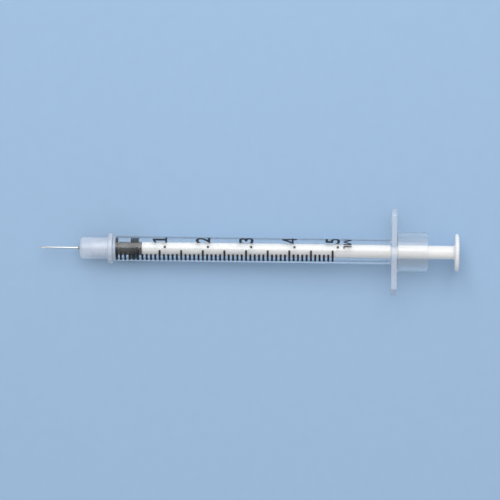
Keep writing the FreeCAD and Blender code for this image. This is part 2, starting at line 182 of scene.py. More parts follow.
class PlungerSizes(PropertyGroup):
    """Sizes of the rubber stopper and the plunger rod."""

    squeeze: length("Squeeze", 0.01, "How far the stopper's ribs press into the bore's wall")
    waist_relief: length("Waist relief", 0.15, "Between the stopper's waist and the bore")
    front_rib: length("Front rib", 0.67, "Length of the stopper's front rib")
    waist: length("Waist", 2.93, "Length of the stopper's waist")
    rear_rib: length("Rear rib", 2.05, "Length of the stopper's rear rib")
    rib_edge: length("Rib edge", 0.12, "Rounding of the ribs' edges")
    knob_gap: length("Knob gap", 0.05, "Between the knob and its pocket in the stopper")
    rod: length("Rod", 3.25, "Outside of the plunger rod")
    neck: length("Neck", 1.2, "Neck behind the knob")
    neck_length: length("Neck length", 1.4, "Length of the neck in the stopper")
    knob: length("Knob", 2.0, "Widest part of the snap-in knob")
    knob_tip: length("Knob tip", 1.0, "Blunt front of the knob")
    knob_length: length("Knob length", 2.2, "Length of the knob")
    thumb: length("Thumb disc", 9.0, "Outside of the thumb disc")
    thumb_thickness: length("Thumb thickness", 0.95, "Thumb disc at its edge")
    thumb_rise: length("Thumb rise", 0.15, "How far the thumb face stands up in its middle")
    thumb_edge: length("Thumb edge", 0.42, "Rounding of the thumb disc's edges")
    thumb_root: length("Thumb root", 0.5, "Fillet from the rod to the thumb disc")


class Colours(PropertyGroup):
    """Colours of the plastics, the rubber, the ink, the steel and the table."""

    barrel: colour("Barrel", (251, 252, 253), "Clear barrel")
    tube_clearness: share("Tube clearness", 0.985, "Share of light that the tube lets through")
    thick: colour("Thick barrel", (231, 241, 255), "Clear barrel where it is thick")
    collar_clearness: share("Collar clearness", 0.95, "Share of light that the collar lets through")
    flange_clearness: share("Flange clearness", 0.64, "Share of light that the flange lets through")
    hub: colour("Hub", (229, 238, 255), "Milky hub")
    hub_clearness: share("Hub clearness", 0.52, "Share of light that the hub lets through")
    adhesive: colour("Adhesive", (250, 232, 196), "Cured adhesive")
    rod: colour("Rod", (247, 247, 246), "White plunger rod")
    rod_shade: colour("Rod shade", (239, 239, 239), "Duller flow marks of the plunger rod")
    rubber: colour("Rubber", (16, 20, 19), "Stopper")
    rubber_bloom: colour("Rubber bloom", (30, 35, 33), "Paler bloom on the stopper")
    ink: colour("Ink", (18, 24, 34), "Print")
    ink_thin: colour("Thin ink", (38, 46, 58), "Print where the ink lies thin")
    steel: colour("Steel", (251, 250, 249), "Cannula")
    table: colour("Table", (160, 190, 222), "Table under the syringe")
    backdrop: colour("Backdrop", (178, 182, 188), "What is seen past the table")


TURN_STEPS = 160
ROUND_STEPS = 6
ARC_STEP = 0.1 * MM
FEWEST_ARC_STEPS = 4
MERGE_DISTANCE = 1e-7
SHARP_ANGLE = math.radians(38)

# Roundings of the corners that have no size of their own.
MOUTH_ROUND = 0.08 * MM
SOCKET_ROUND = 0.05 * MM
RING_ROUND = 0.2 * MM
NOZZLE_ROOT_ROUND = 0.1 * MM
PASSAGE_ROUND = 0.1 * MM
BORE_FRONT_ROUND = 0.2 * MM
BORE_MOUTH_ROUND = 0.3 * MM
BEAD_FOOT_ROUND = 0.2 * MM
BEAD_TOP_ROUND = 0.3 * MM
COLLAR_ROOT_ROUND = 0.25 * MM
COLLAR_MOUTH_ROUND = 0.2 * MM
COLLAR_FLOOR_ROUND = 0.3 * MM
WAIST_ROUND = 0.08 * MM
TAIL_ROUND = 0.15 * MM
POCKET_ROUND = 0.1 * MM
KNOB_TIP_ROUND = 0.15 * MM
KNOB_ROUND = 0.1 * MM
ROD_FRONT_ROUND = 0.2 * MM
CROWN_ROUND = 1.2 * MM

# The adhesive is thin where it stops climbing, hollow before the hub's face, and thin at its rear.
ADHESIVE_LIP = 0.03 * MM
HOLLOW_PLACE = 0.08 * MM
HOLLOW_WIDTH = 0.16 * MM
HOLLOW_ROUND = 0.22 * MM
RIM_SINK = 0.02 * MM
TAIL_GAP = 0.05 * MM
TAIL_WIDTH = 0.02 * MM

# Space before the nozzle's tip in the hub.
SOCKET_GAP = 0.1 * MM
# Share of the thumb disc, and of its face's rise, where the flatter crown starts.
CROWN_SHARE = 0.2


def arc_steps(arc):
    """How many straight steps, each about ARC_STEP long, stand for an arc of that length."""
    return max(FEWEST_ARC_STEPS, round(arc / ARC_STEP))


def round_corners(bm, corners, radius):
    """Round some corners of an outline."""
    bmesh.ops.bevel(bm, geom=corners, offset=radius, offset_type="OFFSET", segments=ROUND_STEPS,
                    profile=0.5, affect="VERTICES", material=-1)


def turned(outline, closed=True):
    """Turn an outline of (place along, radius, rounding) corners right round the bore's axis."""
    bm = bmesh.new()
    corners = [bm.verts.new((along, 0, radius)) for along, radius, _ in outline]
    for first, second in zip(corners, corners[1:]):
        bm.edges.new((first, second))
    if closed:
        bm.edges.new((corners[-1], corners[0]))
    for shared in sorted({rounding for _, _, rounding in outline if rounding}):
        alike = [corner for corner, (_, _, rounding) in zip(corners, outline) if rounding == shared]
        round_corners(bm, alike, shared)
    bmesh.ops.spin(bm, geom=bm.verts[:] + bm.edges[:], cent=(0, 0, 0), axis=(1, 0, 0),
                   dvec=(0, 0, 0), angle=FULL_TURN, steps=TURN_STEPS, use_merge=True)
    bmesh.ops.remove_doubles(bm, verts=bm.verts[:], dist=MERGE_DISTANCE)
    bmesh.ops.recalc_face_normals(bm, faces=bm.faces[:])
    return bm


def cut(bm, point, direction, snap=MERGE_DISTANCE, remove=True):
    """Cut a mesh at a plane, by default take away what lies past it, and return the cut's edges."""
    result = bmesh.ops.bisect_plane(bm, geom=bm.verts[:] + bm.edges[:] + bm.faces[:], dist=snap,
                                    plane_co=point, plane_no=direction, clear_outer=remove)
    return [item for item in result["geom_cut"] if isinstance(item, bmesh.types.BMEdge)]


def weld_to_corners(bm, flat, radius, rounding):
    """Weld the points of a round rim to its corners at the flats, if a rounding would pass them."""
    inside = radius * math.cos(FULL_TURN / TURN_STEPS)
    rim = [vert for vert in bm.verts if math.hypot(vert.co.y, vert.co.z) > inside]
    kept = [vert for vert in rim if abs(abs(vert.co.z) - flat) < MERGE_DISTANCE]
    targets = {
        vert: corner for vert in rim for corner in kept
        if vert not in kept and (vert.co - corner.co).length < rounding
    }
    bmesh.ops.weld_verts(bm, targetmap=targets)


def plane_borders(bm, *places):
    """The borders of the faces that stand across the bore at some places along it."""

    def in_plane(vert):
        return min(abs(vert.co.x - place) for place in places) < MERGE_DISTANCE

    planes = {face for face in bm.faces if all(in_plane(vert) for vert in face.verts)}
    edges = {edge for face in planes for edge in face.edges}
    return {edge for edge in edges if not planes.issuperset(edge.link_faces)}


def add_piece(name, bm, body, material, nodes=(), creases=()):
    """Lay a closed mesh where the syringe lies, hang the piece under its body's empty, and hide the
    CAD nodes that it stands for.

    Creases are edges that shade as sharp however flat they are.
    """
    bmesh.ops.recalc_face_normals(bm, faces=bm.faces[:])
    open_edges = [edge for edge in bm.edges if len(edge.link_faces) != 2]
    if open_edges:
        raise RuntimeError(f"{name} has {len(open_edges)} open edges")
    for face in bm.faces:
        face.smooth = True
    for edge in bm.edges:
        edge.smooth = edge not in creases and edge.calc_face_angle() < SHARP_ANGLE
    bmesh.ops.transform(bm, matrix=LYING, verts=bm.verts[:])
    mesh = bpy.data.meshes.new(name)
    bm.to_mesh(mesh)
    bm.free()
    mesh.materials.append(material)
    piece = bpy.data.objects.new(name, mesh)
    bpy.context.scene.collection.objects.link(piece)
    evened = piece.modifiers.new("Even normals", "WEIGHTED_NORMAL")
    evened.keep_sharp = True
    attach(piece, body)
    if nodes:
        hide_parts(*nodes)
    return piece


PLASTIC_IOR = 1.49
# The part of a noise's range that a value or a colour runs over.
VALUE_SPREAD = (0.3, 0.7)
COLOUR_SPREAD = (0.35, 0.65)
# Share of straight light that each face of a clear or milky wall lets through.
TUBE_PASS = 0.96
COLLAR_PASS = 0.95
FLANGE_PASS = 0.85
HUB_PASS = 0.8


def new_material(name):
    """An empty material and its node tree."""
    material = bpy.data.materials.new(name)
    material.use_nodes = True
    material.node_tree.nodes.clear()
    return material, material.node_tree


def add_node(tree, kind, inputs=None, **settings):
    """Add a node, give it its settings, and fill or link its inputs."""
    node = tree.nodes.new(kind)
    for name, value in settings.items():
        setattr(node, name, value)
    for name, value in (inputs or {}).items():
        if isinstance(value, bpy.types.NodeSocket):
            tree.links.new(value, node.inputs[name])
        else:
            node.inputs[name].default_value = value
    return node


def opaque(levels):
    """A colour with full alpha."""
    return (*levels, 1.0)


def dimmed(levels, factor):
    """A colour with its levels lowered by a factor."""
    return [factor * level for level in levels]


def grain(tree, size, stretch=(1, 1, 1), detail=3.0):
    """Noise whose marks are about that size, stretched along the barrel's own directions."""
    place = add_node(tree, "ShaderNodeTexCoord").outputs["Object"]
    upright = add_node(tree, "ShaderNodeMapping", {"Vector": place, "Rotation": (0, TILT, 0)})
    mapped = add_node(tree, "ShaderNodeMapping", {
        "Vector": upright.outputs["Vector"],
        "Scale": tuple(1 / factor for factor in stretch),
    })
    noise = add_node(tree, "ShaderNodeTexNoise", {
        "Vector": mapped.outputs["Vector"],
        "Scale": 1 / size,
        "Detail": detail,
    })
    return noise.outputs[0]


def between(tree, factor, low, high):
    """A value that runs from low to high as the noise rises."""
    mapped = add_node(tree, "ShaderNodeMapRange", {
        "Value": factor,
        "From Min": VALUE_SPREAD[0],
        "From Max": VALUE_SPREAD[1],
        "To Min": low,
        "To Max": high,
    })
    return mapped.outputs["Result"]


def blended(tree, factor, first, second):
    """A colour that runs from the first to the second as the noise rises."""
    ramp = add_node(tree, "ShaderNodeValToRGB", {"Fac": factor})
    low, high = ramp.color_ramp.elements
    low.position, high.position = COLOUR_SPREAD
    low.color, high.color = opaque(first), opaque(second)
    return ramp.outputs["Color"]


def bumps(tree, height, depth, under=None):
    """A normal from a height, with its depth in metres, on top of another bump if one is given."""
    inputs = {"Height": height, "Distance": depth, "Strength": 1.0}
    if under:
        inputs["Normal"] = under
    return add_node(tree, "ShaderNodeBump", inputs).outputs["Normal"]


def finish_material(material, tree, inputs, wall_pass=None):
    """Give the material its shader and its output.

    With a wall pass, light from lamps and from matt surfaces goes through unbent, lowered to that
    share at each face, so that it reaches what lies inside.
    """
    surface = add_node(tree, "ShaderNodeBsdfPrincipled", inputs).outputs["BSDF"]
    if wall_pass:
        rays = add_node(tree, "ShaderNodeLightPath").outputs
        passing = add_node(tree, "ShaderNodeBsdfTransparent", {"Color": opaque([wall_pass] * 3)})
        for kind in ("Is Shadow Ray", "Is Diffuse Ray"):
            sides = {0: rays[kind], 1: surface, 2: passing.outputs["BSDF"]}
            surface = add_node(tree, "ShaderNodeMixShader", sides).outputs["Shader"]
    add_node(tree, "ShaderNodeOutputMaterial", {"Surface": surface})
    return material


def clear_plastic(place, tint, clearness, wall_pass):
    """Clear moulding of one place, with faint lengthwise flow and a slightly uneven gloss."""
    material, tree = new_material(f"clear_{place}")
    flow = grain(tree, size=0.9 * MM, stretch=(14, 1, 1), detail=2.0)
    fine = grain(tree, size=0.12 * MM)
    flowing = bumps(tree, flow, depth=0.0025 * MM)
    return finish_material(material, tree, {
        "Base Color": blended(tree, flow, dimmed(tint, factor=0.97), tint),
        "Roughness": between(tree, fine, low=0.05, high=0.1),
        "IOR": PLASTIC_IOR,
        "Transmission Weight": clearness,
        "Normal": bumps(tree, fine, depth=0.0005 * MM, under=flowing),
    }, wall_pass)


def milky_plastic(colours):
    """Milky hub moulding with a fine spark grain."""
    material, tree = new_material("milky_moulding")
    cloud = grain(tree, size=1.1 * MM, stretch=(2.5, 1, 1))
    spark = grain(tree, size=0.09 * MM)
    return finish_material(material, tree, {
        "Base Color": blended(tree, cloud, dimmed(colours.hub, factor=0.94), colours.hub),
        "Roughness": between(tree, spark, low=0.24, high=0.38),
        "IOR": PLASTIC_IOR,
        "Transmission Weight": colours.hub_clearness,
        "Subsurface Weight": 0.5,
        "Subsurface Radius": (1.0, 1.0, 1.0),
        "Subsurface Scale": 1.2 * MM,
        "Normal": bumps(tree, spark, depth=0.004 * MM),
    }, HUB_PASS)


def amber_adhesive(colours):
    """Cured adhesive, clear and faintly amber."""
    material, tree = new_material("cured_adhesive")
    cloud = grain(tree, size=0.3 * MM)
    return finish_material(material, tree, {
        "Base Color": blended(tree, cloud, dimmed(colours.adhesive, factor=0.9), colours.adhesive),
        "Roughness": between(tree, cloud, low=0.1, high=0.2),
        "IOR": 1.5,
        "Transmission Weight": 0.7,
        "Normal": bumps(tree, cloud, depth=0.006 * MM),
    })


def white_plastic(colours):
    """Satin white moulding with lengthwise flow marks and a fine grain."""
    material, tree = new_material("white_moulding")
    flow = grain(tree, size=0.5 * MM, stretch=(16, 1, 1))
    fine = grain(tree, size=0.1 * MM)
    flowing = bumps(tree, flow, depth=0.006 * MM)
    return finish_material(material, tree, {
        "Base Color": blended(tree, flow, colours.rod_shade, colours.rod),
        "Roughness": between(tree, fine, low=0.3, high=0.45),
        "IOR": PLASTIC_IOR,
        "Subsurface Weight": 0.7,
        "Subsurface Radius": (1.0, 0.95, 0.9),
        "Subsurface Scale": 1.3 * MM,
        "Normal": bumps(tree, fine, depth=0.002 * MM, under=flowing),
    })


def stopper_rubber(colours):
    """Dark rubber with a faint paler bloom, under a film of oil."""
    material, tree = new_material("stopper_rubber")
    bloom = grain(tree, size=0.5 * MM)
    fine = grain(tree, size=0.07 * MM)
    return finish_material(material, tree, {
        "Base Color": blended(tree, bloom, colours.rubber, colours.rubber_bloom),
        "Roughness": between(tree, bloom, low=0.26, high=0.4),
        "IOR": 1.52,
        "Coat Weight": 0.6,
        "Coat Roughness": 0.1,
        "Normal": bumps(tree, fine, depth=0.0015 * MM),
    })


def print_ink(colours):
    """Printed ink, a little thin in places."""
    material, tree = new_material("printed_ink")
    patches = grain(tree, size=0.16 * MM)
    return finish_material(material, tree, {
        "Base Color": blended(tree, patches, colours.ink, colours.ink_thin),
        "Roughness": between(tree, patches, low=0.4, high=0.6),
        "Normal": bumps(tree, patches, depth=0.005 * MM),
    })


def drawn_steel(colours):
    """Steel tube with fine lengthwise drawing marks."""
    material, tree = new_material("drawn_steel")
    marks = grain(tree, size=0.03 * MM, stretch=(60, 1, 1))
    return finish_material(material, tree, {
        "Base Color": blended(tree, marks, dimmed(colours.steel, factor=0.92), colours.steel),
        "Metallic": 1.0,
        "Roughness": between(tree, marks, low=0.26, high=0.4),
        "Normal": bumps(tree, marks, depth=0.0012 * MM),
    })


def needle_hole(needle):
    """Radius of the hole that the adhesive and the hub leave for the cannula."""
    return needle.cannula / 2 + needle.seat_gap / 4


class SYRINGE_OT_cannula(Operator):
    """Build the steel tube with its ground point"""

    bl_idname = "syringe.cannula"
    bl_label = "Cannula"

    def execute(self, context):
        needle = context.scene.syringe_needle
        start, end = span("needle_cannula")
        outer = needle.cannula / 2
        inner = needle.cannula_bore / 2
        bm = turned((
            (start, inner, 0),
            (start, outer, 0),
            (end, outer, 0),
            (end, inner, 0),
        ))
        point = Vector((start, 0, needle.point_land - outer))
        slant = Vector((-math.sin(needle.bevel_angle), 0, math.cos(needle.bevel_angle)))
        bmesh.ops.bridge_loops(bm, edges=cut(bm, point, slant))
        climb = needle.side_length * math.tan(needle.bevel_angle)
        half_width = math.sqrt(outer ** 2 - (point.z + climb) ** 2)
        across, up = math.sin(needle.side_angle), math.cos(needle.side_angle)
        back = (across * half_width + up * climb) / needle.side_length
        for side in (-1, 1):
            edges = cut(bm, point, Vector((-back, side * across, up)).normalized())
            bmesh.ops.holes_fill(bm, edges=edges, sides=0)
        add_piece("cannula", bm, "barrel", drawn_steel(context.scene.syringe_colours),
                  ["needle_cannula"])
        return {"FINISHED"}


class SYRINGE_OT_adhesive(Operator):
    """Build the cured adhesive in the hub's cone"""

    bl_idname = "syringe.adhesive"
    bl_label = "Adhesive"

    def execute(self, context):
        needle = context.scene.syringe_needle
        start, end = span("needle_adhesive")
        face = span("needle_hub")[0]
        hole = needle_hole(needle)
        rim = needle.well / 2 - needle.seat_gap
        bm = turned((
            (start, hole, 0),
            (start, hole + ADHESIVE_LIP, 0),
            (face - HOLLOW_PLACE, hole + HOLLOW_WIDTH, HOLLOW_ROUND),
            (face + RIM_SINK, rim, 0),
            (end - TAIL_GAP, hole + TAIL_WIDTH, 0),
            (end - TAIL_GAP, hole, 0),
        ))
        add_piece("adhesive", bm, "barrel",
                  amber_adhesive(context.scene.syringe_colours), ["needle_adhesive"])
        return {"FINISHED"}


class SYRINGE_OT_hub(Operator):
    """Build the milky hub with its ring"""

    bl_idname = "syringe.hub"
    bl_label = "Hub"

    def execute(self, context):
        needle = context.scene.syringe_needle
        barrel = context.scene.syringe_barrel
        start, end = span("needle_hub")
        hole = needle_hole(needle)
        rear = end - needle.seat_gap
        ring_front = end - needle.ring_thickness
        nozzle_end = end - barrel.nozzle_length
        socket = nozzle_end - SOCKET_GAP
        edge = barrel.edge
        bm = turned((
            (start + needle.well_depth, hole, 0),
            (start, needle.well / 2, MOUTH_ROUND),
            (start + needle.hub_slope, needle.hub / 2, needle.hub_edge),
            (ring_front, needle.hub / 2, edge),
            (ring_front, needle.ring / 2, RING_ROUND),
            (rear, needle.ring / 2, RING_ROUND),
            (rear, barrel.nozzle_base / 2 + needle.seat_gap, SOCKET_ROUND),
            (nozzle_end, barrel.nozzle_tip / 2 + needle.seat_gap, 0),
            (socket, barrel.nozzle_tip / 2 + needle.seat_gap, SOCKET_ROUND),
            (socket, hole, 0),
        ))
        add_piece("hub", bm, "barrel", milky_plastic(context.scene.syringe_colours),
                  ["needle_hub"])
        return {"FINISHED"}


# Places of two materials in the barrel's list, after the tube's.
COLLAR_FINISH, FLANGE_FINISH = 1, 2


class SYRINGE_OT_barrel(Operator):
    """Build the clear barrel with its nozzle, finger flange and collar"""

    bl_idname = "syringe.barrel"
    bl_label = "Barrel"

    def execute(self, context):
        sizes = context.scene.syringe_barrel
        start, end = span("barrel")
        bore = sizes.bore / 2
        flange_back = end - sizes.collar_length
        flange_front = flange_back - sizes.flange_thickness
        bead = flange_back - sizes.bead_setback
        half_bead = sizes.bead_length / 2
        edge = sizes.edge
        bm = turned((
            (start, sizes.nozzle_bore / 2, MOUTH_ROUND),
            (start, sizes.nozzle_tip / 2, edge),
            (-FRONT_WALL, sizes.nozzle_base / 2, NOZZLE_ROOT_ROUND),
            (-FRONT_WALL, sizes.outside / 2, edge),
            (0, sizes.outside / 2, 0),
            (flange_front, sizes.outside / 2, sizes.flange_root),
            (flange_front, sizes.flange_span / 2, 0),
            (flange_back, sizes.flange_span / 2, 0),
            (flange_back, sizes.collar / 2, COLLAR_ROOT_ROUND),
            (end, sizes.collar / 2, COLLAR_MOUTH_ROUND),
            (end, sizes.collar_bore / 2, COLLAR_MOUTH_ROUND),
            (flange_back, sizes.collar_bore / 2, COLLAR_FLOOR_ROUND),
            (flange_back, bore, BORE_MOUTH_ROUND),
            (bead + half_bead, bore, BEAD_FOOT_ROUND),
            (bead, bore - sizes.bead_height, BEAD_TOP_ROUND),
            (bead - half_bead, bore, BEAD_FOOT_ROUND),
            (0, bore, BORE_FRONT_ROUND),
            (0, sizes.nozzle_bore / 2, PASSAGE_ROUND),
        ))
        flat = sizes.flange_width / 2
        for side in (-1, 1):
            edges = cut(bm, (0, 0, side * flat), (0, 0, side))
            bmesh.ops.holes_fill(bm, edges=edges, sides=0)
        weld_to_corners(bm, flat, sizes.flange_span / 2, sizes.flange_edge)
        bm.normal_update()
        inside_rim = (sizes.collar / 2 + flat) / 2
        rim = [
            line for line in bm.edges
            if all(math.hypot(vert.co.y, vert.co.z) > inside_rim for vert in line.verts)
            and all(flange_front - MERGE_DISTANCE < vert.co.x < flange_back + MERGE_DISTANCE
                    for vert in line.verts)
            and line.calc_face_angle(0) > SHARP_ANGLE
        ]
        bmesh.ops.bevel(bm, geom=rim, offset=sizes.flange_edge, offset_type="OFFSET",
                        segments=ROUND_STEPS, profile=0.5, affect="EDGES", material=-1)
        tube_reach = sizes.outside / 2 + sizes.flange_root / 4
        for face in bm.faces:
            middle = face.calc_center_median()
            if middle.x > flange_back + MERGE_DISTANCE:
                face.material_index = COLLAR_FINISH
            elif math.hypot(middle.y, middle.z) > tube_reach or middle.x < -MERGE_DISTANCE:
                face.material_index = FLANGE_FINISH
        colours = context.scene.syringe_colours
        tube = clear_plastic("tube", colours.barrel, colours.tube_clearness, TUBE_PASS)
        barrel = add_piece("clear_barrel", bm, "barrel", tube, ["barrel"],
                           plane_borders(bm, flange_front, flange_back))
        for finish in (
            ("collar", colours.barrel, colours.collar_clearness, COLLAR_PASS),
            ("flange", colours.thick, colours.flange_clearness, FLANGE_PASS),
        ):
            barrel.data.materials.append(clear_plastic(*finish))
        return {"FINISHED"}


def wrapped(bm, along_middle, turn_middle, radius, thickness):
    """Wrap flat print on the tube, with its X along the tube and its Y round it, and thicken it.

    The print is a little askew: it turns round the tube from one end of the scale to the other.
    """
    sizes = bpy.context.scene.syringe_print
    scale_length = sizes.divisions * sizes.pitch
    turn_middle += sizes.skew * ((along_middle - sizes.zero) / scale_length - 0.5)
    for vert in bm.verts:
        angle = turn_middle + vert.co.y / radius
        along = along_middle + vert.co.x
        vert.co = Vector((along, radius * math.sin(angle), radius * math.cos(angle)))
    grown = bmesh.ops.extrude_face_region(bm, geom=bm.faces[:])
    outer = [item for item in grown["geom"] if isinstance(item, bmesh.types.BMVert)]
    factor = 1 + thickness / radius
    bmesh.ops.scale(bm, vec=(1, factor, factor), verts=outer)


def joined(parts):
    """Put the meshes of several prints into one."""
    whole = bmesh.new()
    for part in parts:
        mesh = bpy.data.meshes.new("print")
        part.to_mesh(mesh)
        part.free()
        whole.from_mesh(mesh)
        bpy.data.meshes.remove(mesh)
    return whole


# Size that makes a grid one metre wide.
UNIT_GRID = 0.5


class SYRINGE_OT_scale(Operator):
    """Print the scale's lines"""

    bl_idname = "syringe.scale"
    bl_label = "Scale lines"

    def execute(self, context):
        sizes = context.scene.syringe_print
        radius = context.scene.syringe_barrel.outside / 2
        lines = []
        for number in range(sizes.divisions + 1):
            sweep = sizes.short_sweep if number % sizes.long_every else sizes.long_sweep
            line = bmesh.new()
            steps = arc_steps(radius * sweep) // 2
            bmesh.ops.create_grid(line, x_segments=1, y_segments=steps, size=UNIT_GRID)
            bmesh.ops.scale(line, vec=(sizes.line_width, radius * sweep, 1), verts=line.verts[:])
            middle = -(sizes.line_end - sweep / 2)
            wrapped(line, sizes.zero + number * sizes.pitch, middle, radius - sizes.sunk,
                    sizes.sunk + sizes.thickness)
            lines.append(line)
        add_piece("scale_lines", joined(lines), "barrel",
                  print_ink(context.scene.syringe_colours), ["graduation_marks"])
        return {"FINISHED"}


DIVISIONS_PER_DIGIT = 10
POINT_STEPS = 6
LETTER_BOLDNESS = 0.02
LETTER_STEPS = 6
LETTER_MERGE = 1e-5
STRIP_SNAP = 0.01 * MM

# The outlines of the print's own letters, in a square with sides of one. A hole is an outline too.
OWN_LETTERS = {
    "1": (
        ((-0.44, -0.5), (0.5, -0.5), (0.5, -0.37), (0.18, -0.37), (0.18, 0.5), (-0.08, 0.5),
         (-0.44, 0.36), (-0.44, 0.22), (-0.14, 0.3), (-0.14, -0.37), (-0.44, -0.37)),
    ),
    "4": (
        ((0.05, -0.5), (0.31, -0.5), (0.31, -0.29), (0.5, -0.29), (0.5, -0.15), (0.31, -0.15),
         (0.31, 0.5), (0.02, 0.5), (-0.5, -0.15), (-0.5, -0.29), (0.05, -0.29)),
        ((0.05, -0.15), (0.05, 0.19), (-0.22, -0.15)),
    ),
    "ML": (
        ((-0.5, -0.5), (-0.4, -0.5), (-0.4, 0.2), (-0.22, -0.5), (-0.12, -0.5), (0.06, 0.2),
         (0.06, -0.5), (0.16, -0.5), (0.16, 0.5), (0.01, 0.5), (-0.17, -0.2), (-0.35, 0.5),
         (-0.5, 0.5)),
        ((0.24, -0.5), (0.5, -0.5), (0.5, -0.36), (0.35, -0.36), (0.35, 0.5), (0.24, 0.5)),
    ),
}


def own_letters(outlines, height, width):
    """Flat letters from their own outlines, centred on zero."""
    bm = bmesh.new()
    for outline in outlines:
        corners = [bm.verts.new((across * width, up * height, 0)) for across, up in outline]
        for first, second in zip(corners, corners[1:] + corners[:1]):
            bm.edges.new((first, second))
    bmesh.ops.triangle_fill(bm, edges=bm.edges[:], use_beauty=True, use_dissolve=False)
    return bm


def lettering(words, height, width):
    """Flat letters, their own or of a plain face, centred on zero, at that height and width."""
    if words in OWN_LETTERS:
        return own_letters(OWN_LETTERS[words], height, width)
    curve = bpy.data.curves.new("letters", "FONT")
    curve.body = words
    curve.offset = LETTER_BOLDNESS
    curve.resolution_u = LETTER_STEPS
    holder = bpy.data.objects.new("letters", curve)
    mesh = bpy.data.meshes.new_from_object(holder)
    bm = bmesh.new()
    bm.from_mesh(mesh)
    bpy.data.objects.remove(holder)
    bpy.data.curves.remove(curve)
    bpy.data.meshes.remove(mesh)
    bmesh.ops.remove_doubles(bm, verts=bm.verts[:], dist=LETTER_MERGE)
    low = Vector((min(vert.co.x for vert in bm.verts), min(vert.co.y for vert in bm.verts), 0))
    high = Vector((max(vert.co.x for vert in bm.verts), max(vert.co.y for vert in bm.verts), 0))
    extent = high - low
    bmesh.ops.translate(bm, vec=-(low + high) / 2, verts=bm.verts[:])
    bmesh.ops.scale(bm, vec=(width / extent.x, height / extent.y, 1), verts=bm.verts[:])
    return bm


def cut_across_reading(bm, width):
    """Cut flat letters into narrow strips, so that they can bend round the tube."""
    steps = arc_steps(width)
    for number in range(1, steps):
        place = (-width / 2 + width * number / steps, 0, 0)
        cut(bm, place, (1, 0, 0), STRIP_SNAP, remove=False)


class SYRINGE_OT_numbers(Operator):
    """Print the scale's numbers with their points, and the unit"""

    bl_idname = "syringe.numbers"
    bl_label = "Numbers"

    def execute(self, context):
        sizes = context.scene.syringe_print
        radius = context.scene.syringe_barrel.outside / 2 - sizes.sunk
        thickness = sizes.sunk + sizes.thickness
        quarter = Matrix.Rotation(math.pi / 2, 3, "Z")
        prints = []
        for digit in range(1, sizes.divisions // DIVISIONS_PER_DIGIT + 1):
            line = sizes.zero + digit * DIVISIONS_PER_DIGIT * sizes.pitch
            flat = lettering(str(digit), sizes.digit_height, sizes.digit_width)
            cut_across_reading(flat, sizes.digit_width)
            bmesh.ops.rotate(flat, cent=(0, 0, 0), matrix=quarter, verts=flat.verts[:])
            wrapped(flat, line, sizes.digit_turn, radius, thickness)
            prints.append(flat)
            point = bmesh.new()
            bmesh.ops.create_grid(point, x_segments=POINT_STEPS, y_segments=POINT_STEPS,
                                  size=sizes.point_size / 2)
            corners = [vert for vert in point.verts if len(vert.link_faces) == 1]
            round_corners(point, corners, sizes.point_size / 4)
            place = line + sizes.digit_height / 2 - sizes.point_size
            wrapped(point, place, sizes.point_turn, radius, thickness)
            prints.append(point)
        unit = lettering("ML", sizes.unit_height, sizes.unit_width)
        cut_across_reading(unit, sizes.unit_width)
        bmesh.ops.rotate(unit, cent=(0, 0, 0), matrix=quarter.inverted(), verts=unit.verts[:])
        last = sizes.zero + sizes.divisions * sizes.pitch
        wrapped(unit, last + sizes.unit_setback, sizes.unit_turn, radius, thickness)
        prints.append(unit)
        add_piece("scale_numbers", joined(prints), "barrel",
                  print_ink(context.scene.syringe_colours))
        return {"FINISHED"}


class SYRINGE_OT_stopper(Operator):
    """Build the rubber stopper with its two ribs and its pocket"""

    bl_idname = "syringe.stopper"
    bl_label = "Stopper"

    def execute(self, context):
        sizes = context.scene.syringe_plunger
        bore = context.scene.syringe_barrel.bore / 2
        start, end = span("rubber_stopper")
        rib = bore + sizes.squeeze
        waist = bore - sizes.waist_relief
        front_end = start + sizes.front_rib
        rear_start = front_end + sizes.waist
        rear_end = rear_start + sizes.rear_rib
        knob_back = end + sizes.knob_gap - sizes.neck_length
        knob_front = knob_back - sizes.knob_length
        gap = sizes.knob_gap
        edge = sizes.rib_edge
        bm = turned((
            (start, 0, 0),
            (start, rib, edge),
            (front_end, rib, edge),
            (front_end, waist, WAIST_ROUND),
            (rear_start, waist, WAIST_ROUND),
            (rear_start, rib, edge),
            (rear_end, rib, edge),
            (rear_end, waist, WAIST_ROUND),
            (end, waist, TAIL_ROUND),
            (end, sizes.neck / 2 + gap, POCKET_ROUND),
            (knob_back + gap, sizes.neck / 2 + gap, POCKET_ROUND),
            (knob_back + gap, sizes.knob / 2 + gap, POCKET_ROUND),
            (knob_front - gap, sizes.knob_tip / 2 + gap, POCKET_ROUND),
            (knob_front - gap, 0, 0),
        ), closed=False)
        add_piece("stopper", bm, "stopper", stopper_rubber(context.scene.syringe_colours),
                  ["rubber_stopper"])
        return {"FINISHED"}


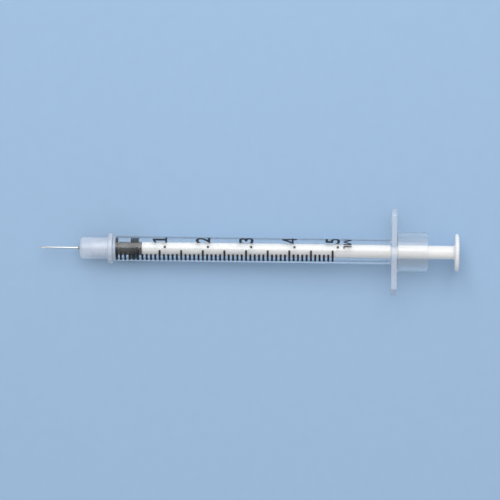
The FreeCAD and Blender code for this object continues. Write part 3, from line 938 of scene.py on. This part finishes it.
class SYRINGE_OT_plunger(Operator):
    """Build the white plunger rod with its knob and thumb disc"""

    bl_idname = "syringe.plunger"
    bl_label = "Plunger"

    def execute(self, context):
        sizes = context.scene.syringe_plunger
        start, end = span("plunger_rod")
        knob_back = ROD_FRONT - sizes.neck_length
        thumb_edge = end - sizes.thumb_rise
        thumb_front = thumb_edge - sizes.thumb_thickness
        bm = turned((
            (start, 0, 0),
            (start, sizes.knob_tip / 2, KNOB_TIP_ROUND),
            (knob_back, sizes.knob / 2, KNOB_ROUND),
            (knob_back, sizes.neck / 2, KNOB_ROUND),
            (ROD_FRONT, sizes.neck / 2, KNOB_ROUND),
            (ROD_FRONT, sizes.rod / 2, ROD_FRONT_ROUND),
            (thumb_front, sizes.rod / 2, sizes.thumb_root),
            (thumb_front, sizes.thumb / 2, sizes.thumb_edge),
            (thumb_edge, sizes.thumb / 2, sizes.thumb_edge),
            (end - sizes.thumb_rise * CROWN_SHARE, sizes.thumb * CROWN_SHARE, CROWN_ROUND),
            (end, 0, 0),
        ), closed=False)
        add_piece("plunger", bm, "plunger",
                  white_plastic(context.scene.syringe_colours), ["plunger_rod"])
        return {"FINISHED"}


FLOOR_REACH = 2.0
FLOOR_DROP = 0.02 * MM
VIEW_DISTANCE = 0.78
VIEW_WIDTH = 0.1205
SENSOR_WIDTH = 36.0
VIEW_MIDDLE = Vector((0.0001, 0.0, 0.0047))
VIEW_ROLL = math.radians(0.743)
NEAR_CLIP = 0.01
FAR_CLIP = 20.0
SOFTBOX_DISTANCE = 0.6
SOFTBOX_SIZE = (0.45, 0.55)
SOFTBOX_LEAN = math.radians(31)
SOFTBOX_POWER = 2.3
SKY_DIM_SIDE = 0.47
SKY_BRIGHT_SIDE = 0.6
SKY_IN_GLOSS = 0.12


def table_surface(colours):
    """Pale matt table with a faint mottle."""
    material, tree = new_material("pale_table")
    mottle = grain(tree, size=3 * MM)
    return finish_material(material, tree, {
        "Base Color": blended(tree, mottle, dimmed(colours.table, factor=0.985), colours.table),
        "Roughness": between(tree, mottle, low=0.75, high=0.85),
        "Specular IOR Level": 0.2,
    })


def plain_sky(scene, colours):
    """Soft white light from all round, stronger from one side, seen as a plain pale backdrop."""
    world = bpy.data.worlds.new("plain_sky")
    scene.world = world
    world.use_nodes = True
    tree = world.node_tree
    tree.nodes.clear()
    rays = add_node(tree, "ShaderNodeLightPath").outputs
    seen = add_node(tree, "ShaderNodeMath", {
        0: rays["Is Camera Ray"],
        1: rays["Is Transmission Ray"],
    }, operation="ADD", use_clamp=True)
    place = add_node(tree, "ShaderNodeTexCoord").outputs["Generated"]
    across = add_node(tree, "ShaderNodeSeparateXYZ", {"Vector": place}).outputs["Y"]
    dim_side = add_node(tree, "ShaderNodeMath", {
        0: rays["Is Glossy Ray"],
        1: SKY_IN_GLOSS - SKY_DIM_SIDE,
        2: SKY_DIM_SIDE,
    }, operation="MULTIPLY_ADD")
    strength = add_node(tree, "ShaderNodeMapRange", {
        "Value": across,
        "From Min": -1.0,
        "From Max": 1.0,
        "To Min": dim_side.outputs[0],
        "To Max": SKY_BRIGHT_SIDE,
    })
    light = add_node(tree, "ShaderNodeBackground", {
        "Color": opaque((1, 1, 1)),
        "Strength": strength.outputs["Result"],
    })
    backdrop = add_node(tree, "ShaderNodeBackground", {
        "Color": opaque(colours.backdrop),
        "Strength": 1.0,
    })
    mixed = add_node(tree, "ShaderNodeMixShader", {
        0: seen.outputs[0],
        1: light.outputs[0],
        2: backdrop.outputs[0],
    })
    add_node(tree, "ShaderNodeOutputWorld", {"Surface": mixed.outputs[0]})


class SYRINGE_OT_stage(Operator):
    """Set up the pale table, the soft light and the camera straight above"""

    bl_idname = "syringe.stage"
    bl_label = "Stage"

    def execute(self, context):
        scene = context.scene
        colours = scene.syringe_colours
        bm = bmesh.new()
        bmesh.ops.create_grid(bm, x_segments=1, y_segments=1, size=FLOOR_REACH)
        bmesh.ops.translate(bm, vec=(0, 0, -FLOOR_DROP), verts=bm.verts[:])
        mesh = bpy.data.meshes.new("table")
        bm.to_mesh(mesh)
        bm.free()
        mesh.materials.append(table_surface(colours))
        table = bpy.data.objects.new("table", mesh)
        scene.collection.objects.link(table)

        plain_sky(scene, colours)
        softbox = bpy.data.lights.new("softbox", "AREA")
        softbox.shape = "RECTANGLE"
        softbox.size, softbox.size_y = SOFTBOX_SIZE
        softbox.energy = SOFTBOX_POWER
        lamp = bpy.data.objects.new("softbox", softbox)
        lean = Matrix.Rotation(-SOFTBOX_LEAN, 4, "X")
        lamp.matrix_world = lean @ Matrix.Translation((0, 0, SOFTBOX_DISTANCE))
        lamp.visible_camera = False
        lamp.visible_transmission = False
        scene.collection.objects.link(lamp)

        lens = bpy.data.cameras.new("straight_above")
        lens.sensor_width = SENSOR_WIDTH
        lens.lens = SENSOR_WIDTH * VIEW_DISTANCE / VIEW_WIDTH
        lens.clip_start = NEAR_CLIP
        lens.clip_end = FAR_CLIP
        camera = bpy.data.objects.new("straight_above", lens)
        camera.location = VIEW_MIDDLE + Vector((0, 0, VIEW_DISTANCE))
        camera.rotation_euler = (0, 0, VIEW_ROLL)
        scene.collection.objects.link(camera)
        scene.camera = camera
        scene.view_settings.view_transform = "Standard"
        return {"FINISHED"}


OPERATORS = (
    SYRINGE_OT_cannula,
    SYRINGE_OT_adhesive,
    SYRINGE_OT_hub,
    SYRINGE_OT_barrel,
    SYRINGE_OT_scale,
    SYRINGE_OT_numbers,
    SYRINGE_OT_stopper,
    SYRINGE_OT_plunger,
    SYRINGE_OT_stage,
)
GROUPS = {
    "syringe_needle": NeedleSizes,
    "syringe_barrel": BarrelSizes,
    "syringe_print": PrintSizes,
    "syringe_plunger": PlungerSizes,
    "syringe_colours": Colours,
}


class SYRINGE_PT_pieces(Panel):
    """Sizes, colours and pieces of the syringe"""

    bl_idname = "SYRINGE_PT_pieces"
    bl_label = "Tuberculin Syringe"
    bl_space_type = "VIEW_3D"
    bl_region_type = "UI"
    bl_category = "Syringe"

    def draw(self, context):
        column = self.layout.column()
        for operator in OPERATORS:
            column.operator(operator.bl_idname)
        for name, group in GROUPS.items():
            box = self.layout.box()
            for size_name in group.__annotations__:
                box.prop(getattr(context.scene, name), size_name)


CLASSES = (*GROUPS.values(), *OPERATORS, SYRINGE_PT_pieces)


def register():
    """Make the sizes, the operators and the panel known."""
    for each in CLASSES:
        bpy.utils.register_class(each)
    for name, group in GROUPS.items():
        setattr(bpy.types.Scene, name, PointerProperty(type=group))


def unregister():
    """Take the sizes, the operators and the panel away again."""
    for name in GROUPS:
        delattr(bpy.types.Scene, name)
    for each in reversed(CLASSES):
        bpy.utils.unregister_class(each)


def main():
    """Build every piece in order."""
    register()
    for operator in OPERATORS:
        group, name = operator.bl_idname.split(".")
        getattr(getattr(bpy.ops, group), name)()


if __name__ == "__main__":
    main()
